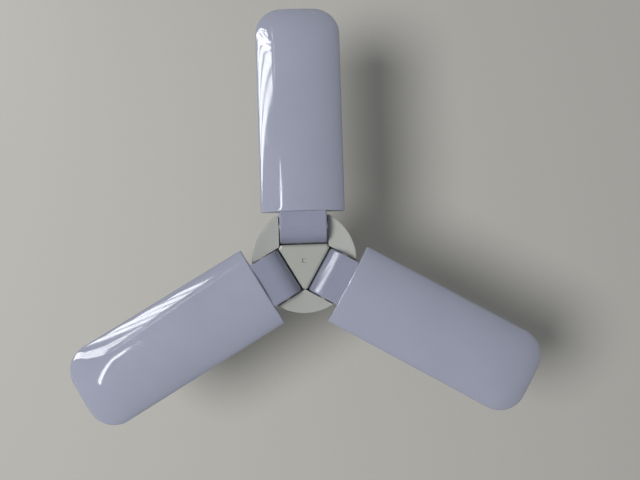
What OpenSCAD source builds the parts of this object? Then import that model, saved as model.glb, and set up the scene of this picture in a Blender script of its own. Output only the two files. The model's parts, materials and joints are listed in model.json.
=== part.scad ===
// Deformable garage light: a screw-cap LED lamp whose three leaves fold forward on hinges.
// All sizes are in millimetres. +Z runs along the lamp's axis, from the contact at the end of
// the cap to the front, and leaf 1 points along +Y. In a ceiling lampholder +Z points down.

/* [Leaves] */
// Length of a leaf, from its hub end to its tip
leaf_len = 103.8; // [85:0.1:125]
// Width of a leaf at its hub end
leaf_hub_w = 42.2; // [38:0.1:43]
// Width of a leaf where its tip begins to round
leaf_tip_w = 42.8; // [38:0.1:44]
// Radius of the leaf's two tip corners, seen from the front
leaf_corner_r = 13.5; // [8:0.5:16]
// Height of the diffuser's dome above its edges
crown_h = 7; // [5:0.1:7.5]
// Length over which the dome falls to the leaf's tip
crown_run = 24; // [14:1:36]
// Fullness of the dome's section, where 0.5 is an ellipse and 1 a parabola
crown_power = 0.7; // [0.6:0.05:1]
// Rounding of the diffuser's hub end
crown_edge_r = 0.8; // [0.4:0.1:1.2]
// Wall of the diffuser
diffuser_wall = 1.5; // [1.2:0.1:1.8]
// Height of the diffuser's straight edge
diffuser_edge_h = 3; // [2.8:0.1:3.4]
// Height of the diffuser's edge above the hinge axis
diffuser_edge_z = 3.6; // [3.4:0.1:3.8]

/* [Leaf trays] */
// Depth of the tray's back below the hinge axis
tray_back = 5; // [4.8:0.1:5.4]
// Wall of the tray
tray_wall = 1.6; // [1.4:0.1:2]
// Floor of the tray
tray_floor = 1.8; // [1.4:0.1:2]
// Step from the diffuser's edge in to the tray's side
tray_step = 0.6; // [0.3:0.1:0.8]
// Rounding of the tray's back edge
tray_round = 2.4; // [1.5:0.1:3]
// Height of the lip that the diffuser snaps over
tray_lip_h = 2; // [1.5:0.1:2.4]
// Clearance of the diffuser round the lip
lip_gap = 0.1; // [0.05:0.05:0.2]
// Number of vent slots in the tray's back
vent_count = 7; // [3:1:9]
// Width of a vent slot
vent_w = 1.8; // [1.2:0.1:2.4]
// Length of a vent slot
vent_len = 22; // [14:1:26]
// Distance between vent slots
vent_pitch = 7; // [5:0.5:8]

/* [LED boards] */
// Thickness of the aluminium LED board
board_t = 1.2; // [1:0.1:1.4]
// Clearance round the board inside the tray
board_gap = 0.5; // [0.3:0.1:0.8]
// Length of an LED package
chip_len = 3.5; // [2.8:0.1:4]
// Width of an LED package
chip_w = 2.8; // [2:0.1:3.5]
// Height of an LED package
chip_h = 0.8; // [0.5:0.1:1]
// Columns of LEDs across a board
chip_columns = 3; // [1:2:3]
// Rows of LEDs along a board
chip_rows = 9; // [5:1:11]
// Distance between columns of LEDs
chip_column_pitch = 11; // [9:0.5:12]

/* [Hinges] */
// Distance of each hinge axis from the lamp's axis
hinge_r = 17.4; // [17:0.1:17.8]
// Radius of the knuckle's barrel
barrel_r = 8.8; // [8.4:0.1:9]
// Width of the knuckle and its neck
knuckle_w = 23.7; // [22.5:0.1:24.2]
// Rounding of the knuckle's side edges
knuckle_edge_r = 1; // [0.5:0.1:1.4]
// Wall of the knuckle
knuckle_wall = 1.8; // [1.5:0.1:2.2]
// Thickness of the knuckle's two pin webs
knuckle_web = 4.5; // [4:0.1:5]
// Radius of a hinge pin
pin_r = 1.25; // [1:0.05:1.4]
// Running clearance round a hinge pin
pin_fit = 0.05; // [0.03:0.01:0.08]
// Depth to which a pin is pressed into its web
pin_seat = 4.2; // [3.6:0.1:4.2]
// Gap between the knuckle's side and the slot's wall
slot_gap = 0.65; // [0.6:0.05:0.75]
// Thickness of a friction washer
washer_t = 0.45; // [0.3:0.05:0.5]
// Outer radius of a friction washer
washer_r = 2.2; // [1.9:0.1:2.2]
// Least gap between a folding leaf's end and the hub's rim
fold_gap = 0.38; // [0.3:0.02:0.6]
// Length of the tongue that carries the tray
tongue_len = 17; // [15:0.5:20]
// Width of the tongue
tongue_w = 19; // [16:0.5:20]
// Thickness of the tongue
tongue_t = 3.2; // [2.8:0.1:3.2]

/* [Hub] */
// Radius of the hub's rim
hub_r = 26.25; // [26:0.05:26.6]
// Wall of the hub
hub_wall = 1.8; // [1.5:0.1:2]
// Height of the rim above the hinge axes
rim_h = 3.4; // [3.2:0.1:3.6]
// Rounding of the rim
rim_round = 0.5; // [0.3:0.1:0.8]
// Depth of the front's dish, at the lamp's axis
dish_depth = 3.5; // [2.5:0.1:4]
// Gap between the barrels and the hub's floor
floor_gap = 0.6; // [0.5:0.1:1]
// Thickness of the hub's floor
floor_t = 2; // [1.6:0.1:2.4]
// Depth of the hub's skirt below its floor
hub_skirt = 2.6; // [2:0.1:3.5]
// Gap between a flat leaf's back and the sill it stops on
sill_gap = 0.4; // [0.3:0.1:0.6]
// Gap between a barrel and the sill
sill_barrel_gap = 0.32; // [0.3:0.02:0.5]
// Width of the sill
sill_w = 10; // [6:0.5:11]
// Width of a saddle block under a hinge pin
saddle_w = 6; // [4:0.5:7]
// Depth of the lip on the back of a petal cap
petal_lip_h = 2.5; // [2:0.1:3]
// Thickness of that lip
petal_lip_t = 1.2; // [0.8:0.1:1.4]

/* [Front plate] */
// Gap between the plate's edges and the barrels
plate_gap = 0.6; // [0.5:0.05:0.8]
// Thickness of the plate
plate_t = 1.8; // [1.4:0.1:2]
// Height of the plate's face above the petals' inner tips
plate_rise = 0.9; // [0.6:0.1:1.2]
// Width of the bevel round the plate
bevel_w = 1; // [0.5:0.1:1.4]
// Depth of the bevel round the plate
bevel_h = 0.6; // [0.3:0.1:0.8]
// Gap between the plate's corners and the petals' inner tips
tip_gap = 0.4; // [0.3:0.1:0.8]
// Radius of the dimple at the plate's centre
dimple_r = 1.25; // [1:0.05:1.6]
// Depth of the dimple
dimple_depth = 0.7; // [0.4:0.1:0.9]
// Length of the plate's clips
clip_len = 6; // [4:0.5:7]
// Wall of the three-sided column that carries the plate
column_wall = 1.6; // [1.2:0.1:2]

/* [Driver housing] */
// Height of the lamp, from the cap's contact to the hub's rim
lamp_h = 92; // [88:0.5:110]
// Radius of the housing's neck
neck_r = 16.2; // [15.6:0.1:18]
// Length of the housing's straight neck
neck_len = 9.5; // [8:0.5:12]
// Length of the straight band below the hub
band_len = 5; // [3:0.5:8]
// Wall of the housing
housing_wall = 1.8; // [1.5:0.1:2.1]
// Number of vents round the housing
housing_vents = 12; // [6:6:18]
// Width of a housing vent
housing_vent_w = 2.4; // [1.6:0.1:3]
// Height of a housing vent
housing_vent_h = 14; // [8:0.5:16]

/* [Driver board] */
// Width of the driver board
driver_w = 28; // [25:0.1:28.4]
// Gap between the output terminals and the hub's floor
driver_gap = 3.8; // [3.6:0.1:6]
// Thickness of the driver board
driver_t = 1.6; // [1:0.1:2]
// Radius of the electrolytic capacitor
capacitor_r = 5; // [4:0.1:5.5]
// Length of the electrolytic capacitor
capacitor_len = 14; // [10:0.5:15]
// Side of the transformer's core
transformer_w = 13; // [10:0.5:13.5]
// Depth of the transformer
transformer_d = 10; // [8:0.5:11]

/* [Screw cap] */
// Radius over the thread's crests
thread_crest_r = 13.15; // [13.1:0.01:13.2]
// Radius at the thread's roots
thread_root_r = 12.15; // [12.1:0.01:12.3]
// Pitch of the thread
thread_pitch = 3.63; // [3.6:0.01:3.65]
// Length of the threaded shell
shell_len = 18; // [17:0.1:19]
// Inner radius of the shell
shell_bore_r = 11.6; // [11.4:0.05:11.7]
// Length of the shell's plain skirt
shell_skirt = 3; // [2:0.1:4]
// Radius of the shell's plain skirt
shell_skirt_r = 13.3; // [13.2:0.05:13.5]
// Height of the insulator between the contact and the shell
insulator_h = 5.4; // [5:0.1:6]
// Radius of the centre contact
contact_r = 4.8; // [4.5:0.1:5.5]
// Thickness of the centre contact
contact_t = 1; // [0.8:0.1:1.4]

/* [Fasteners and leads] */
// Radius of the hub screws' shanks
hub_screw_r = 1.45; // [1.2:0.05:1.6]
// Length of the hub screws' shanks
hub_screw_len = 10; // [8:0.5:12]
// Radius of the hub screws' heads
hub_screw_head_r = 2.3; // [2:0.1:2.4]
// Radius of the small screws' shanks
small_screw_r = 1.1; // [0.9:0.05:1.2]
// Radius of a leaf lead
lead_r = 1.2; // [0.9:0.05:1.25]
// Radius of a supply lead
supply_r = 0.8; // [0.6:0.05:1]
// Clearance of a screw's shank in its hole
screw_gap = 0.05; // [0.03:0.01:0.1]

/* [Hidden] */
$fn = 48;
leaf_numbers = [1, 2, 3];
leaf_turn = 120;
small = 0.01;
beyond = 60;
butt_gap = 0.03;
lead_end_gap = 0.15;

// Hinge and leaf places. Heights in leaf modules are measured from the hinge axis.
hinge_z = lamp_h - rim_h;
slot_half = knuckle_w / 2 + slot_gap;
petal_tip_r = slot_half / sin(60);
rim_corner_y = sqrt(hub_r * hub_r - slot_half * slot_half);
leaf_start = hinge_r + norm([rim_corner_y - hinge_r, rim_h]) + fold_gap;
leaf_end = leaf_start + leaf_len;
skirt_z = diffuser_edge_z - diffuser_edge_h;
tray_top = skirt_z - 0.1;
tray_inside = tray_step + tray_wall;
floor_z = -tray_back + tray_floor;
board_z = skirt_z;
board_top = board_z + board_t;
web_face = knuckle_w / 2 - knuckle_web;

// Hub places, measured from the cap's contact
hub_floor_top = hinge_z - barrel_r - floor_gap;
hub_floor = hub_floor_top - floor_t;
hub_bottom = hub_floor - hub_skirt;
dish_r = (hub_r * hub_r + dish_depth * dish_depth) / (2 * dish_depth);
dish_tip_z = lamp_h - dish_depth + dish_r - sqrt(dish_r * dish_r - petal_tip_r * petal_tip_r);
sill_drop = tray_back + sill_gap;
sill_y = hinge_r + sqrt(pow(barrel_r + sill_barrel_gap, 2) - sill_drop * sill_drop);
plate_in_r = hinge_r - barrel_r - plate_gap;
plate_top = dish_tip_z + plate_rise;
plate_bottom = plate_top - plate_t;
column_in_r = plate_in_r - 0.4;
petal_turn = 30;

// Each hub screw stands in the middle of the room inside its tower.
hub_screw_room = hub_wall + hub_screw_head_r;
hub_screw_at = (petal_tip_r + hub_screw_room / sin(60) + hub_r - hub_screw_room) / 2;

// Housing and cap places, measured from the cap's contact
shell_z = contact_t + insulator_h;
housing_z = shell_z + shell_len + 0.1;
neck_top = housing_z + neck_len;
band_z = hub_bottom - band_len;
spigot_r = shell_bore_r - 0.1;
spigot_bore = spigot_r - 2.5;
driver_z = neck_top + 2;
terminal_h = 2.4;
terminal_top = hub_floor - driver_gap;
terminal_z = terminal_top - terminal_h;
driver_h = terminal_z - driver_z;

// Leads, as points that a smooth curve runs through
lead_floor_y = hub_r - 2 * hub_wall - lead_r - lead_end_gap;
hub_lead_path = [
    [0, 4.4, terminal_top + 0.3],
    [0, 4.7, terminal_top + 1.3],
    [0, 7, terminal_top + 2.1],
    [0, 12, terminal_top + 2.2],
    [0, lead_floor_y - 2.6, terminal_top + 2.4],
    [0, lead_floor_y - 0.2, hub_floor + 0.4],
    [0, lead_floor_y, hub_floor_top + 0.2],
    [-1.6, lead_floor_y - 0.5, hinge_z - 6.2],
    [-4.4, hinge_r + 1.6, hinge_z - 2.2],
    [-3.6, hinge_r + 0.2, hinge_z - 0.3],
    [-1.8, hinge_r, hinge_z],
    [-lead_end_gap, hinge_r, hinge_z]
];
leaf_lead_path = [
    [lead_end_gap, hinge_r, 0],
    [1.8, hinge_r, 0],
    [3.6, hinge_r + 0.8, -0.3],
    [2.4, (hinge_r + leaf_start) / 2 - 1.2, -1.1],
    [0.3, leaf_start - 2.2, floor_z + 1.6],
    [0, leaf_start, floor_z + 1.7],
    [0, leaf_start + 4, floor_z + 1.7],
    [0, leaf_start + 7.5, floor_z + 1.9],
    [0, leaf_start + 10, board_z + 0.2],
    [0, leaf_start + 12, board_top + 1.6],
    [0, leaf_start + 15, board_top + lead_r + 0.1]
];
wire_hole_y = leaf_start + 10.2;

// ---- Shared shapes ----

// A closed solid through rings of points, all of one length, each turning left round its way on.
module loft(rings) {
    n = len(rings[0]);
    last = (len(rings) - 1) * n;
    polyhedron(
        points = [for (ring = rings) each ring],
        faces = concat(
            [for (k = [1:n - 2]) [0, k, k + 1]],
            [for (k = [1:n - 2]) [last, last + k + 1, last + k]],
            [for (i = [0:len(rings) - 2], k = [0:n - 1])
                [i * n + k, (i + 1) * n + k, (i + 1) * n + (k + 1) % n]],
            [for (i = [0:len(rings) - 2], k = [0:n - 1])
                [i * n + k, (i + 1) * n + (k + 1) % n, i * n + (k + 1) % n]]
        )
    );
}

function unit(v) = v / norm(v);

// A point of the smooth curve that passes through p[i] and p[i + 1], at t from 0 to 1.
function on_curve(p, i, t) =
    let (a = p[max(i - 1, 0)], b = p[i], c = p[i + 1], d = p[min(i + 2, len(p) - 1)])
    b + 0.5 * t * (c - a + t * (2 * a - 5 * b + 4 * c - d + t * (3 * (b - c) + d - a)));

function curve(p, steps) = concat(
    [for (i = [0:len(p) - 2], s = [0:steps - 1]) on_curve(p, i, s / steps)],
    [p[len(p) - 1]]
);

// The way that the curve runs at each of its points.
function headings(c) = [
    for (i = [0:len(c) - 1]) unit(c[min(i + 1, len(c) - 1)] - c[max(i - 1, 0)])
];

// Side directions that turn as little as they can from one point to the next.
function sides(h, first) = [
    for (i = 0, s = unit(first - (first * h[0]) * h[0]);
         i < len(h);
         i = i + 1, s = i < len(h) ? unit(s - (s * h[i]) * h[i]) : s) s
];

module lead(path, r) {
    c = curve(path, 3);
    h = headings(c);
    s = sides(h, [0.3, 0.2, 1]);
    loft([for (i = [0:len(c) - 1])
        [for (a = [0:45:315]) c[i] + r * (cos(a) * s[i] + sin(a) * cross(h[i], s[i]))]]);
}

module ring(outer, inner, h) {
    difference() {
        cylinder(r = outer, h = h);
        translate([0, 0, -1]) cylinder(r = inner, h = h + 2);
    }
}

// A pan-head screw with its shank down from z = 0 and a cross recess in its head.
module screw(shank_r, shank_len, head_r, head_h) {
    recess_w = head_r * 0.3;
    difference() {
        union() {
            translate([0, 0, -shank_len]) cylinder(r = shank_r, h = shank_len + small);
            cylinder(r = head_r, h = head_h * 0.5);
            translate([0, 0, head_h * 0.5]) cylinder(r1 = head_r, r2 = head_r * 0.7, h = head_h * 0.5);
        }
        for (turn = [0, 90])
            rotate([0, 0, turn])
                translate([0, 0, head_h])
                    cube([head_r * 1.1, recess_w, head_h], center = true);
    }
}

// ---- Places ----

module at_leaf(n) {
    rotate([0, 0, (n - 1) * leaf_turn]) translate([0, 0, hinge_z]) children();
}

module at_petal(n) {
    rotate([0, 0, petal_turn + (n - 1) * leaf_turn]) children();
}

module along_hinge() {
    translate([0, hinge_r, 0]) rotate([0, 90, 0]) children();
}

// ---- Leaf outline and dome ----

function leaf_half(y) =
    (leaf_hub_w + (leaf_tip_w - leaf_hub_w) * (y - leaf_start) / leaf_len) / 2;

tip_centre_x = leaf_tip_w / 2 - leaf_corner_r;
tip_centre_y = leaf_end - leaf_corner_r;

// Half the leaf's width at y, drawn in by inset, with the tip's round corners.
function outline_half(y, inset) =
    y <= tip_centre_y
        ? leaf_half(y) - inset
        : tip_centre_x + sqrt(max(0, pow(leaf_corner_r - inset, 2) - pow(y - tip_centre_y, 2)));

// The leaf's outline from the front, drawn in by inset, turning left.
function leaf_outline(inset, hub_corner = 1.2) =
    let (
        hub_x = leaf_hub_w / 2 - inset - hub_corner,
        hub_y = leaf_start + inset + hub_corner,
        tip_r = leaf_corner_r - inset
    )
    concat(
        [for (a = [-90:45:0]) [hub_x, hub_y] + hub_corner * [cos(a), sin(a)]],
        [for (a = [0:10:90]) [tip_centre_x, tip_centre_y] + tip_r * [cos(a), sin(a)]],
        [for (a = [90:10:180]) [-tip_centre_x, tip_centre_y] + tip_r * [cos(a), sin(a)]],
        [for (a = [180:45:270]) [-hub_x, hub_y] + hub_corner * [cos(a), sin(a)]]
    );

function at_height(outline, z) = [for (p = outline) [p[0], p[1], z]];

// How much of the dome's height is left at y.
function crown_share(y, end) =
    let (t = max(0, (y - (end - crown_run)) / crown_run))
    sqrt(max(0, 1 - t * t));

// A solid with the diffuser's dome over a straight edge that reaches down to z = bottom.
module dome(inset, bottom) {
    start = leaf_start + inset;
    end = leaf_end - inset;
    stations = concat(
        [for (a = [0:30:60]) [start + crown_edge_r * (1 - cos(a)), crown_edge_r * (1 - sin(a))]],
        [[start + crown_edge_r, 0]],
        [for (y = [1:3]) [start + (end - crown_run - start) * y / 3, 0]],
        [for (a = [9:9:81]) [end - crown_run + crown_run * sin(a), 0]],
        [[end, 0]]
    );
    loft([
        for (s = stations)
            let (
                y = s[0],
                half = outline_half(y, inset) - s[1],
                h = (crown_h - inset) * crown_share(y, end) - s[1]
            )
            concat(
                [[half, y, bottom], [-half, y, bottom]],
                [for (a = [-90:11.25:90])
                    let (u = sin(a))
                    [half * u, y, diffuser_edge_z + max(0, h) * pow(max(0, 1 - u * u), crown_power)]]
            )
    ]);
}

// ---- Leaf pieces ----

module diffuser() {
    color([0.87, 0.88, 0.94])
        difference() {
            dome(0, skirt_z);
            dome(diffuser_wall, skirt_z - 1);
        }
}

tray_screw_y = leaf_start + tongue_len - 4.5;
tray_screw_x = tongue_w / 2 - 3.5;
board_screw_x = leaf_hub_w / 2 - tray_inside - board_gap - 3.2;
board_screw_ys = [leaf_start + 24, leaf_end - leaf_corner_r - 4];
boss_r = 2.6;

module tray() {
    rise = [for (a = [0:30:90]) [-tray_back + tray_round * (1 - cos(a)), tray_round * (1 - sin(a))]];
    color([0.93, 0.93, 0.92])
        difference() {
            union() {
                difference() {
                    union() {
                        loft([
                            for (r = concat(rise, [[tray_top, 0]]))
                                at_height(leaf_outline(tray_step + r[1]), r[0])
                        ]);
                        translate([0, 0, tray_top - small])
                            linear_extrude(tray_lip_h + small)
                                polygon(leaf_outline(diffuser_wall + lip_gap));
                    }
                    translate([0, 0, floor_z])
                        linear_extrude(beyond)
                            polygon(leaf_outline(tray_inside));
                }
                for (x = [-board_screw_x, board_screw_x], y = board_screw_ys)
                    translate([x, y, floor_z - small]) cylinder(r = boss_r, h = board_z - floor_z + small);
            }
            // The way in for the arm's tongue
            translate([-tongue_w / 2 - lip_gap, leaf_start - 1, floor_z])
                cube([tongue_w + 2 * lip_gap, tray_wall + tray_step + 3, tongue_t + lip_gap]);
            for (x = [-board_screw_x, board_screw_x], y = board_screw_ys)
                translate([x, y, floor_z + 0.4]) cylinder(r = small_screw_r + screw_gap, h = beyond);
            for (x = [-tray_screw_x, tray_screw_x])
                translate([x, tray_screw_y, -tray_back - 1]) {
                    cylinder(r = small_screw_r + screw_gap, h = beyond);
                    cylinder(r = boss_r - 0.2, h = 2);
                }
            for (i = [0:vent_count - 1])
                translate([-vent_len / 2, leaf_start + 38 + i * vent_pitch, -tray_back - 1])
                    cube([vent_len, vent_w, tray_floor + 2]);
        }
}

module led_board() {
    color([0.96, 0.96, 0.95])
        translate([0, 0, board_z])
            difference() {
                linear_extrude(board_t) polygon(leaf_outline(tray_inside + board_gap));
                for (x = [-board_screw_x, board_screw_x], y = board_screw_ys)
                    translate([x, y, -1]) cylinder(r = small_screw_r + screw_gap, h = board_t + 2);
                hull()
                    for (y = [-1.2, 1.2])
                        translate([0, wire_hole_y + y, -1]) cylinder(r = lead_r + 0.8, h = board_t + 2);
            }
}

chip_first_y = leaf_start + 22;
chip_row_pitch = (leaf_end - 10 - chip_first_y) / (chip_rows - 1);

module led_chips() {
    color([0.95, 0.87, 0.45])
        for (i = [0:chip_columns - 1], j = [0:chip_rows - 1])
            let (x = (i - (chip_columns - 1) / 2) * chip_column_pitch)
            translate([x - chip_w / 2, chip_first_y + j * chip_row_pitch - chip_len / 2, board_top])
                cube([chip_w, chip_len, chip_h]);
}

module board_screws() {
    color("silver")
        for (x = [-board_screw_x, board_screw_x], y = board_screw_ys)
            translate([x, y, board_top])
                screw(small_screw_r, board_top - floor_z - 0.6, small_screw_r * 1.8, 1);
}

module arm_screws() {
    color("silver")
        for (x = [-tray_screw_x, tray_screw_x])
            translate([x, tray_screw_y, -tray_back + 1])
                mirror([0, 0, 1])
                    screw(small_screw_r, tray_floor + tongue_t - 1.6, small_screw_r * 1.8, 0.9);
}

// The knuckle's barrel, rounded at both ends.
module barrel() {
    along_hinge()
        rotate_extrude() {
            translate([0, -knuckle_w / 2 + knuckle_edge_r])
                square([barrel_r, knuckle_w - 2 * knuckle_edge_r]);
            translate([0, -knuckle_w / 2])
                square([barrel_r - knuckle_edge_r, knuckle_w]);
            for (side = [-1, 1])
                translate([barrel_r - knuckle_edge_r, side * (knuckle_w / 2 - knuckle_edge_r)])
                    circle(r = knuckle_edge_r);
        }
}

// The neck between the barrel and the leaf, with its two front edges rounded.
module neck() {
    neck_y = leaf_start - hinge_r;
    translate([0, hinge_r, 0]) {
        translate([-knuckle_w / 2, 0, -tray_back])
            cube([knuckle_w, neck_y, barrel_r + tray_back - knuckle_edge_r]);
        translate([-knuckle_w / 2 + knuckle_edge_r, 0, -tray_back])
            cube([knuckle_w - 2 * knuckle_edge_r, neck_y, barrel_r + tray_back]);
        for (side = [-1, 1])
            translate([side * (knuckle_w / 2 - knuckle_edge_r), 0, barrel_r - knuckle_edge_r])
                rotate([-90, 0, 0]) cylinder(r = knuckle_edge_r, h = neck_y);
    }
}

// The part of the barrel that stays open at every fold, where the hub's lead comes in.
window_from = 190;
window_to = 340;

module barrel_window() {
    reach = 2 * barrel_r;
    middle = (window_from + window_to) / 2;
    along_hinge()
        translate([0, 0, -web_face])
            linear_extrude(2 * web_face)
                polygon([
                    [0, 0],
                    for (a = [window_from, middle - 25, middle + 25, window_to]) reach * [-sin(a), cos(a)]
                ]);
}

module leaf_arm() {
    channel_w = 2 * lead_r + 1.6;
    inner_y = leaf_start - hinge_r - knuckle_wall;
    color([0.86, 0.87, 0.93])
        difference() {
            union() {
                difference() {
                    union() {
                        barrel();
                        neck();
                    }
                    translate([-beyond / 2, leaf_start - butt_gap, -beyond / 2]) cube(beyond);
                    along_hinge() cylinder(r = barrel_r - knuckle_wall, h = 2 * web_face, center = true);
                    translate([-web_face, hinge_r, -tray_back - 1])
                        cube([2 * web_face, inner_y, barrel_r + tray_back + 1 - knuckle_wall]);
                    barrel_window();
                }
                translate([-knuckle_w / 2, leaf_start - knuckle_wall, -tray_back])
                    cube([knuckle_w, knuckle_wall - butt_gap, tray_back]);
                translate([-tongue_w / 2, leaf_start - knuckle_wall, floor_z])
                    cube([tongue_w, tongue_len + knuckle_wall, tongue_t]);
            }
            // A channel that leads the wires from the barrel into the tray
            translate([-channel_w / 2, leaf_start - knuckle_wall - 1, floor_z + 0.3])
                cube([channel_w, tongue_len + knuckle_wall + 2, tongue_t + 0.4]);
            for (x = [-tray_screw_x, tray_screw_x])
                translate([x, tray_screw_y, floor_z - 1])
                    cylinder(r = small_screw_r + screw_gap, h = tongue_t + 2);
            for (side = [-1, 1])
                along_hinge()
                    translate([0, 0, side * knuckle_w / 2 - (side > 0 ? pin_seat : 1)])
                        cylinder(r = pin_r, h = pin_seat + 1);
        }
}

pin_len = pin_seat + slot_gap + hub_wall + 1.9;

module hinge_pins() {
    color("silver")
        for (side = [-1, 1])
            translate([side * (knuckle_w / 2 - pin_seat), 0, 0])
                along_hinge()
                    mirror([0, 0, side > 0 ? 0 : 1]) {
                        cylinder(r = pin_r, h = pin_len - 0.3);
                        translate([0, 0, pin_len - 0.3]) cylinder(r1 = pin_r, r2 = pin_r - 0.3, h = 0.3);
                    }
}

module friction_washers() {
    middle = knuckle_w / 2 + slot_gap / 2;
    color([0.72, 0.72, 0.7])
        for (side = [-1, 1])
            translate([side * middle - washer_t / 2, 0, 0])
                along_hinge() ring(washer_r, pin_r + 0.1, washer_t);
}

module leaf_lead() {
    color([0.9, 0.9, 0.9]) lead(leaf_lead_path, lead_r);
}

// ---- Hub pieces ----

// The ground between two slots, drawn in by inset, with its corner toward the lamp's axis.
module petal_ground(inset) {
    tip = petal_tip_r + inset / sin(60);
    far = [tip + beyond * cos(60), beyond * sin(60)];
    polygon([[tip, 0], [far[0], -far[1]], far]);
}

module petal_shape(inset, r) {
    intersection() {
        circle(r = r);
        petal_ground(inset);
    }
}

module hinge_bore(r) {
    along_hinge() cylinder(r = r, h = 2 * (knuckle_w / 2 + slot_gap + hub_wall + 2.5), center = true);
}

saddle_reach = slot_gap + hub_wall + 2;
saddle_drop = 5;
saddle_gap = 0.3;

// Two blocks that carry one leaf's pins, from the slot's walls into the petals.
module saddles(grow, top) {
    for (side = [-1, 1])
        translate([side * (slot_half + saddle_reach / 2), hinge_r, (top - saddle_drop) / 2])
            cube([saddle_reach, saddle_w + 2 * grow, saddle_drop + top], center = true);
}

// The stop that a flat leaf's back rests on, between the slot's two walls.
module sill() {
    bottom = hub_floor_top - hinge_z - small;
    translate([-sill_w / 2, sill_y, bottom]) cube([sill_w, beyond, -sill_drop - bottom]);
}

// A hollow tower between two slots, a hair inside the rim so that its wall stands on the floor's.
module tower() {
    foot = hub_floor_top - floor_t / 2;
    translate([0, 0, foot])
        linear_extrude(hinge_z - foot)
            difference() {
                petal_shape(0, hub_r - small);
                petal_shape(hub_wall, hub_r - hub_wall);
            }
}

module column() {
    at_petal(1)
        translate([0, 0, hub_floor_top - small])
            linear_extrude(plate_bottom - hub_floor_top + small)
                difference() {
                    intersection() {
                        circle(r = 2 * column_in_r, $fn = 3);
                        circle(r = petal_tip_r + 0.2);
                    }
                    circle(r = 2 * (column_in_r - column_wall), $fn = 3);
                }
}

floor_hole_gap = 0.2;
lead_hole_gap = 0.9;

module hub_body() {
    color([0.87, 0.87, 0.86])
        difference() {
            union() {
                translate([0, 0, hub_bottom]) ring(hub_r, hub_r - hub_wall, hub_skirt + floor_t);
                translate([0, 0, hub_floor]) cylinder(r = hub_r - hub_wall / 2, h = floor_t);
                for (n = leaf_numbers) at_petal(n) tower();
                column();
                intersection() {
                    translate([0, 0, hub_floor]) cylinder(r = hub_r - hub_wall / 2, h = lamp_h);
                    for (n = leaf_numbers) at_leaf(n) saddles(0, 0);
                }
                intersection() {
                    translate([0, 0, hub_floor]) cylinder(r = hub_r - hub_wall / 4, h = lamp_h);
                    for (n = leaf_numbers) at_leaf(n) sill();
                }
            }
            for (n = leaf_numbers) {
                at_leaf(n) hinge_bore(pin_r + pin_fit);
                at_petal(n)
                    translate([hub_screw_at, 0, hub_floor - 1])
                        cylinder(r = hub_screw_r + floor_hole_gap, h = floor_t + 2);
                at_leaf(n)
                    translate([0, lead_floor_y, hub_floor - hinge_z - 1])
                        cylinder(r = lead_r + lead_hole_gap, h = floor_t + 2);
            }
        }
}

// The hub's front end as a round disc with the rim's rounding and the dish in its face.
module dished_disc() {
    rotate([0, 0, 180])
        rotate_extrude()
            difference() {
                union() {
                    square([hub_r - rim_round, rim_h]);
                    square([hub_r, rim_h - rim_round]);
                    translate([hub_r - rim_round, rim_h - rim_round]) circle(r = rim_round);
                }
                translate([0, rim_h - dish_depth + dish_r]) circle(r = dish_r, $fn = 360);
            }
}

module petal_cap(n) {
    lip_in = hub_wall + lip_gap;
    color([0.87, 0.87, 0.86])
        at_petal(n)
            translate([0, 0, hinge_z])
                difference() {
                    union() {
                        intersection() {
                            dished_disc();
                            translate([0, 0, -1]) linear_extrude(rim_h + 2) petal_ground(0);
                        }
                        translate([0, 0, -petal_lip_h])
                            linear_extrude(petal_lip_h + 0.5)
                                difference() {
                                    petal_shape(lip_in, hub_r - lip_in);
                                    petal_shape(lip_in + petal_lip_t, hub_r - lip_in - petal_lip_t);
                                }
                    }
                    for (side = [-1, 1])
                        rotate([0, 0, side * petal_turn * 2 - 90]) {
                            hinge_bore(pin_r + pin_fit);
                            saddles(saddle_gap, small);
                        }
                }
}

// The plate's outline: a triangle with its corners cut off, drawn in by inset.
module plate_outline(inset) {
    cut_r = petal_tip_r - tip_gap - inset;
    intersection() {
        circle(r = 2 * (plate_in_r - inset), $fn = 3);
        rotate([0, 0, 180]) circle(r = 2 * cut_r, $fn = 3);
    }
}

module front_plate() {
    clip_y = column_in_r - column_wall - 0.1;
    clip_t = 1.2;
    clip_w = 6;
    color([0.87, 0.87, 0.83])
        difference() {
            union() {
                at_petal(1) {
                    translate([0, 0, plate_bottom]) linear_extrude(plate_t - bevel_h) plate_outline(0);
                    hull() {
                        translate([0, 0, plate_top - bevel_h - small]) linear_extrude(small) plate_outline(0);
                        translate([0, 0, plate_top - small]) linear_extrude(small) plate_outline(bevel_w);
                    }
                }
                for (n = leaf_numbers)
                    rotate([0, 0, (n - 1) * leaf_turn])
                        translate([-clip_w / 2, clip_y - clip_t, plate_bottom - clip_len])
                            cube([clip_w, clip_t, clip_len + 0.5]);
            }
            translate([0, 0, plate_top - dimple_depth])
                cylinder(r1 = dimple_r * 0.7, r2 = dimple_r, h = dimple_depth + small);
        }
}

module hub_screws() {
    color("silver")
        for (n = leaf_numbers)
            at_petal(n)
                translate([hub_screw_at, 0, hub_floor_top])
                    screw(hub_screw_r, hub_screw_len, hub_screw_head_r, 1.8);
}

module hub_lead(n) {
    color([0.9, 0.9, 0.9]) rotate([0, 0, (n - 1) * leaf_turn]) lead(hub_lead_path, lead_r);
}

// ---- Driver housing ----

// Radius of the bell at t, from 0 at its neck to 1 at its band.
function bell_r(t) = neck_r + (hub_r - neck_r) * (1 - cos(180 * t)) / 2;

function bell_line(inset) = [
    for (t = [0:0.1:1]) [bell_r(t) - inset, neck_top + t * (band_z - neck_top)]
];

function reversed(list) = [for (i = [len(list) - 1:-1:0]) list[i]];

module bell_solid() {
    rotate_extrude() polygon(concat([[0, neck_top]], bell_line(0), [[hub_r, hub_bottom], [0, hub_bottom]]));
}

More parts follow.
